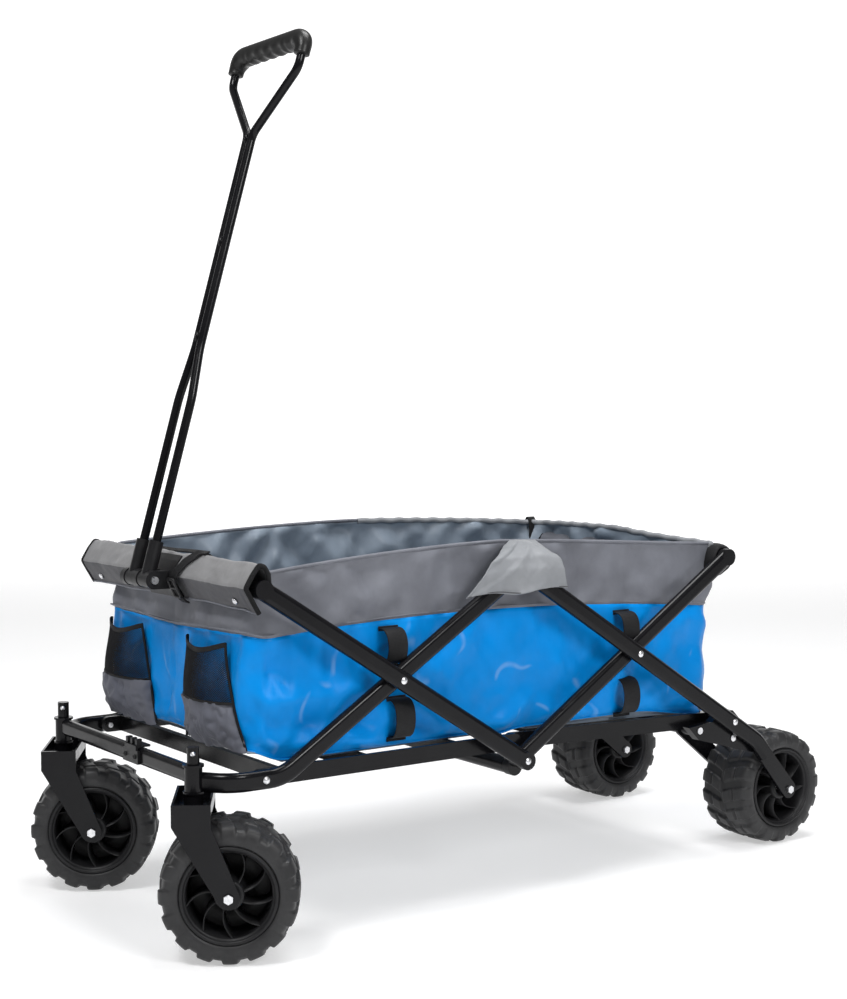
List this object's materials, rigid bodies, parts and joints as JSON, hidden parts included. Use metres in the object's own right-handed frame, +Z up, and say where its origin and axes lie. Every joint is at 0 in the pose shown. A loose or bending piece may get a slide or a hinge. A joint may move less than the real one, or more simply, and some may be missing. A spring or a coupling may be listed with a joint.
{
  "type": "beach cart",
  "caption": "Folding beach cart: crossed flat-oval side frames, fabric basket, loop-grip pull handle, steering front casters and wide treaded wheels.",
  "frame": {"origin": "on the ground, under the centre of the whole cart's bounding box", "axes": "+Z up, +X to the cart's left as seen from its handle end (shortest extent), +Y from the handle and casters to the fixed rear wheels"},
  "size_m": [0.6108, 1.2449, 1.2902],
  "materials": {
    "frame_black": "satin",
    "dark_steel": "satin",
    "tyre_rubber": "matte",
    "wheel_plastic": "satin",
    "black_plastic": "gloss",
    "blue_fabric": "woven",
    "grey_fabric": "woven",
    "black_webbing": "woven",
    "floor_board": "woven"
  },
  "bodies": {
    "mid_frame": {"lower_cross_tube": "frame_black", "cross_tube_caps": "black_plastic", "mid_pivot_bolts": "dark_steel"},
    "basket": {"basket_fabric": "blue_fabric", "cup_pockets": "grey_fabric", "webbing_loops": "black_webbing", "joint_flaps": "grey_fabric"},
    "front_top_frame": {"front_arm_left": "frame_black", "front_arm_right": "frame_black", "front_top_rail": "frame_black", "front_cross_rivets": "dark_steel", "front_rail_sleeve": "grey_fabric", "rail_strap": "black_webbing", "handle_bracket": "black_plastic", "handle_bolt": "dark_steel"},
    "rear_top_frame": {"rear_arm_left": "frame_black", "rear_arm_right": "frame_black", "rear_top_rail": "frame_black", "rear_cross_rivets": "dark_steel", "rear_rail_sleeve": "black_webbing"},
    "front_frame": {"front_leg_left": "frame_black", "front_leg_right": "frame_black", "front_corner_tubes": "frame_black", "front_cross_tube": "frame_black", "caster_socket_left": "frame_black", "caster_socket_right": "frame_black", "handle_catch": "black_plastic", "front_floor_pins": "dark_steel", "top_pivot_pins": "dark_steel"},
    "rear_frame": {"rear_leg_left": "frame_black", "rear_leg_right": "frame_black", "rear_brackets": "frame_black", "bracket_bolts": "dark_steel", "rear_cross_tube": "frame_black", "rear_inner_blades": "frame_black", "rear_axle_bolts": "dark_steel", "rear_floor_pins": "dark_steel"},
    "front_floor": {"front_floor_rails": "frame_black", "front_floor_bars": "frame_black", "front_floor_panel": "floor_board"},
    "rear_floor": {"rear_floor_rails": "frame_black", "rear_floor_bars": "frame_black", "rear_floor_panel": "floor_board"},
    "handle": {"handle_tubes": "frame_black", "handle_grip": "black_plastic", "handle_end_fittings": "black_plastic"},
    "caster_left": {"caster_fork_left": "frame_black", "front_axle_left": "dark_steel"},
    "button_left": {"snap_button_left": "dark_steel"},
    "front_wheel_left": {"front_rim_left": "wheel_plastic", "front_tyre_left": "tyre_rubber"},
    "rear_wheel_left": {"rear_rim_left": "wheel_plastic", "rear_tyre_left": "tyre_rubber"},
    "caster_right": {"caster_fork_right": "frame_black", "front_axle_right": "dark_steel"},
    "button_right": {"snap_button_right": "dark_steel"},
    "front_wheel_right": {"front_rim_right": "wheel_plastic", "front_tyre_right": "tyre_rubber"},
    "rear_wheel_right": {"rear_rim_right": "wheel_plastic", "rear_tyre_right": "tyre_rubber"}
  },
  "joints": [
    {"name": "front_fold", "type": "hinge", "parent": "mid_frame", "child": "front_top_frame", "pos_m": [-0.0194, -0.0392, 0.2127], "axis": [-1, 0, 0], "range_deg": [0, 42], "deforming": ["basket_fabric", "cup_pockets", "webbing_loops", "joint_flaps", "front_rail_sleeve", "rear_rail_sleeve", "rail_strap"]},
    {"name": "rear_fold", "type": "hinge", "parent": "mid_frame", "child": "rear_top_frame", "pos_m": [-0.0194, -0.0392, 0.2127], "axis": [1, 0, 0], "range_deg": [0, 42]},
    {"name": "front_cross", "type": "hinge", "parent": "front_top_frame", "child": "front_frame", "pos_m": [-0.0194, -0.2622, 0.35422], "axis": [1, 0, 0], "range_deg": [0, 84]},
    {"name": "rear_cross", "type": "hinge", "parent": "rear_top_frame", "child": "rear_frame", "pos_m": [-0.0194, 0.1838, 0.35422], "axis": [-1, 0, 0], "range_deg": [0, 84]},
    {"name": "front_floor_fold", "type": "hinge", "parent": "front_frame", "child": "front_floor", "pos_m": [-0.0194, -0.476, 0.237], "axis": [1, 0, 0], "range_deg": [0, 36]},
    {"name": "rear_floor_fold", "type": "hinge", "parent": "rear_frame", "child": "rear_floor", "pos_m": [-0.0194, 0.3908, 0.225], "axis": [-1, 0, 0], "range_deg": [0, 38]},
    {"name": "basket_lift", "type": "slide", "parent": "mid_frame", "child": "basket", "axis": [0, 0, 1], "range_m": [0, 0.235]},
    {"name": "handle_hinge", "type": "hinge", "parent": "front_top_frame", "child": "handle", "pos_m": [-0.0194, -0.5322, 0.4927], "axis": [1, 0, 0], "range_deg": [0, 140]},
    {"name": "caster_swivel_left", "type": "hinge", "parent": "front_frame", "child": "caster_left", "pos_m": [0.1962, -0.5622, 0.203], "axis": [0, 0, 1], "continuous": true},
    {"name": "front_wheel_spin_left", "type": "hinge", "parent": "caster_left", "child": "front_wheel_left", "pos_m": [0.22097, -0.52097, 0.095], "axis": [0.8572, -0.515, 0], "continuous": true},
    {"name": "button_press_left", "type": "slide", "parent": "caster_left", "child": "button_left", "axis": [-0.8572, 0.515, 0], "range_m": [0, 0.0025], "stiffness_N_per_m": 800},
    {"name": "rear_wheel_spin_left", "type": "hinge", "parent": "rear_frame", "child": "rear_wheel_left", "pos_m": [0.1841, 0.5274, 0.095], "axis": [1, 0, 0], "continuous": true},
    {"name": "caster_swivel_right", "type": "hinge", "parent": "front_frame", "child": "caster_right", "pos_m": [-0.235, -0.5622, 0.203], "axis": [0, 0, 1], "continuous": true},
    {"name": "front_wheel_spin_right", "type": "hinge", "parent": "caster_right", "child": "front_wheel_right", "pos_m": [-0.21023, -0.52097, 0.095], "axis": [0.8572, -0.515, 0], "continuous": true},
    {"name": "button_press_right", "type": "slide", "parent": "caster_right", "child": "button_right", "axis": [-0.8572, 0.515, 0], "range_m": [0, 0.0025], "stiffness_N_per_m": 800},
    {"name": "rear_wheel_spin_right", "type": "hinge", "parent": "rear_frame", "child": "rear_wheel_right", "pos_m": [-0.2229, 0.5274, 0.095], "axis": [1, 0, 0], "continuous": true}
  ],
  "couplings": [
    {"joint": "rear_fold", "follows": "front_fold", "ratio": 1},
    {"joint": "front_cross", "follows": "front_fold", "ratio": 2},
    {"joint": "rear_cross", "follows": "front_fold", "ratio": 2},
    {"joint": "front_floor_fold", "follows": "front_fold", "ratio": 0.85},
    {"joint": "rear_floor_fold", "follows": "front_fold", "ratio": 0.9},
    {"joint": "basket_lift", "follows": "front_fold", "m_per_rad": 0.3138}
  ]
}
